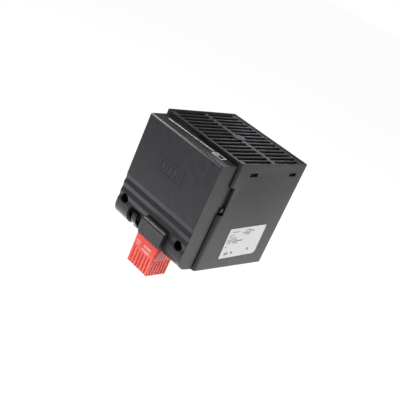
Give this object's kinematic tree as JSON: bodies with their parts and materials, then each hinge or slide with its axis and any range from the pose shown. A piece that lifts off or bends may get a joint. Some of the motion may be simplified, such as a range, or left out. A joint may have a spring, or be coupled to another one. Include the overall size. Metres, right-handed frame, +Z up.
{
  "type": "enclosure heater",
  "caption": "Touch-safe fan heater for a control cabinet, clipped to a mounting rail, with a slotted outlet grille, a screwed front cover, a lead entry with clamp and a plug-in red thermostat.",
  "frame": {"origin": "middle of the flat back face of the rail clip, where the front of the 35 mm mounting rail bears, at the rail's centre line", "axes": "+X to the right of someone who looks at the front, +Y from the front towards the rail and the mounting plate, +Z up, along the air flow"},
  "size_m": [0.0853, 0.1139, 0.1108],
  "materials": {
    "black_plastic": "fine moulded grain",
    "cover_plastic": "fine moulded grain",
    "socket_plastic": "moulded, finely ribbed",
    "clamp_plastic": "smooth moulded",
    "carrier_plastic": "glass-filled, matt",
    "clip_plastic": "moulded",
    "fan_plastic": "moulded",
    "red_plastic": "moulded, half matt",
    "white_plastic": "moulded",
    "label_film": "printed film",
    "screw_steel": "zinc plated",
    "steel": "bright",
    "brass": "bright",
    "copper_winding": "enamelled wire",
    "aluminium": "extruded, mill finish",
    "ceramic": "fired, matt",
    "rubber": "matt"
  },
  "bodies": {
    "heater": {"housing": "black_plastic", "front_cover": "cover_plastic", "cover_screw_left": "screw_steel", "cover_screw_right": "screw_steel", "thermostat_socket": "socket_plastic", "socket_screw": "screw_steel", "socket_contact_left": "brass", "socket_contact_right": "brass", "cable_clamp": "clamp_plastic", "cable_clamp_screw": "screw_steel", "terminal_block": "white_plastic", "terminal_screw_1": "brass", "terminal_screw_2": "brass", "terminal_screw_3": "brass", "lead_grommet": "rubber", "fan_guard": "black_plastic", "fan_frame": "fan_plastic", "fan_bearing": "brass", "fan_stator": "copper_winding", "fan_screw_1": "screw_steel", "fan_screw_2": "screw_steel", "fan_screw_3": "screw_steel", "fan_screw_4": "screw_steel", "heater_carrier": "carrier_plastic", "heat_sink_front": "aluminium", "heat_sink_back": "aluminium", "heating_element": "ceramic", "thermal_cutout": "ceramic", "heater_screw_left": "screw_steel", "heater_screw_right": "screw_steel", "rail_clip": "clip_plastic", "rail_spring": "steel", "rail_clip_screw_left": "screw_steel", "rail_clip_screw_right": "screw_steel", "rating_label": "label_film"},
    "rotor": {"fan_rotor": "fan_plastic", "fan_shaft": "steel"},
    "thermostat": {"thermostat_module": "red_plastic", "module_pin_left": "brass", "module_pin_right": "brass"},
    "latch": {"rail_latch": "clip_plastic"}
  },
  "joints": [
    {"name": "fan_spin", "type": "hinge", "parent": "heater", "child": "rotor", "pos_m": [0, -0.0465, -0.04075], "axis": [0, 0, 1], "continuous": true},
    {"name": "thermostat_slide", "type": "slide", "parent": "heater", "child": "thermostat", "axis": [0, 0, -1], "range_m": [0, 0.014]},
    {"name": "latch_slide", "type": "slide", "parent": "heater", "child": "latch", "axis": [0, 0, -1], "range_m": [0, 0.004], "stiffness_N_per_m": 1500, "springref_m": -0.003, "deforming": ["rail_spring"]}
  ]
}
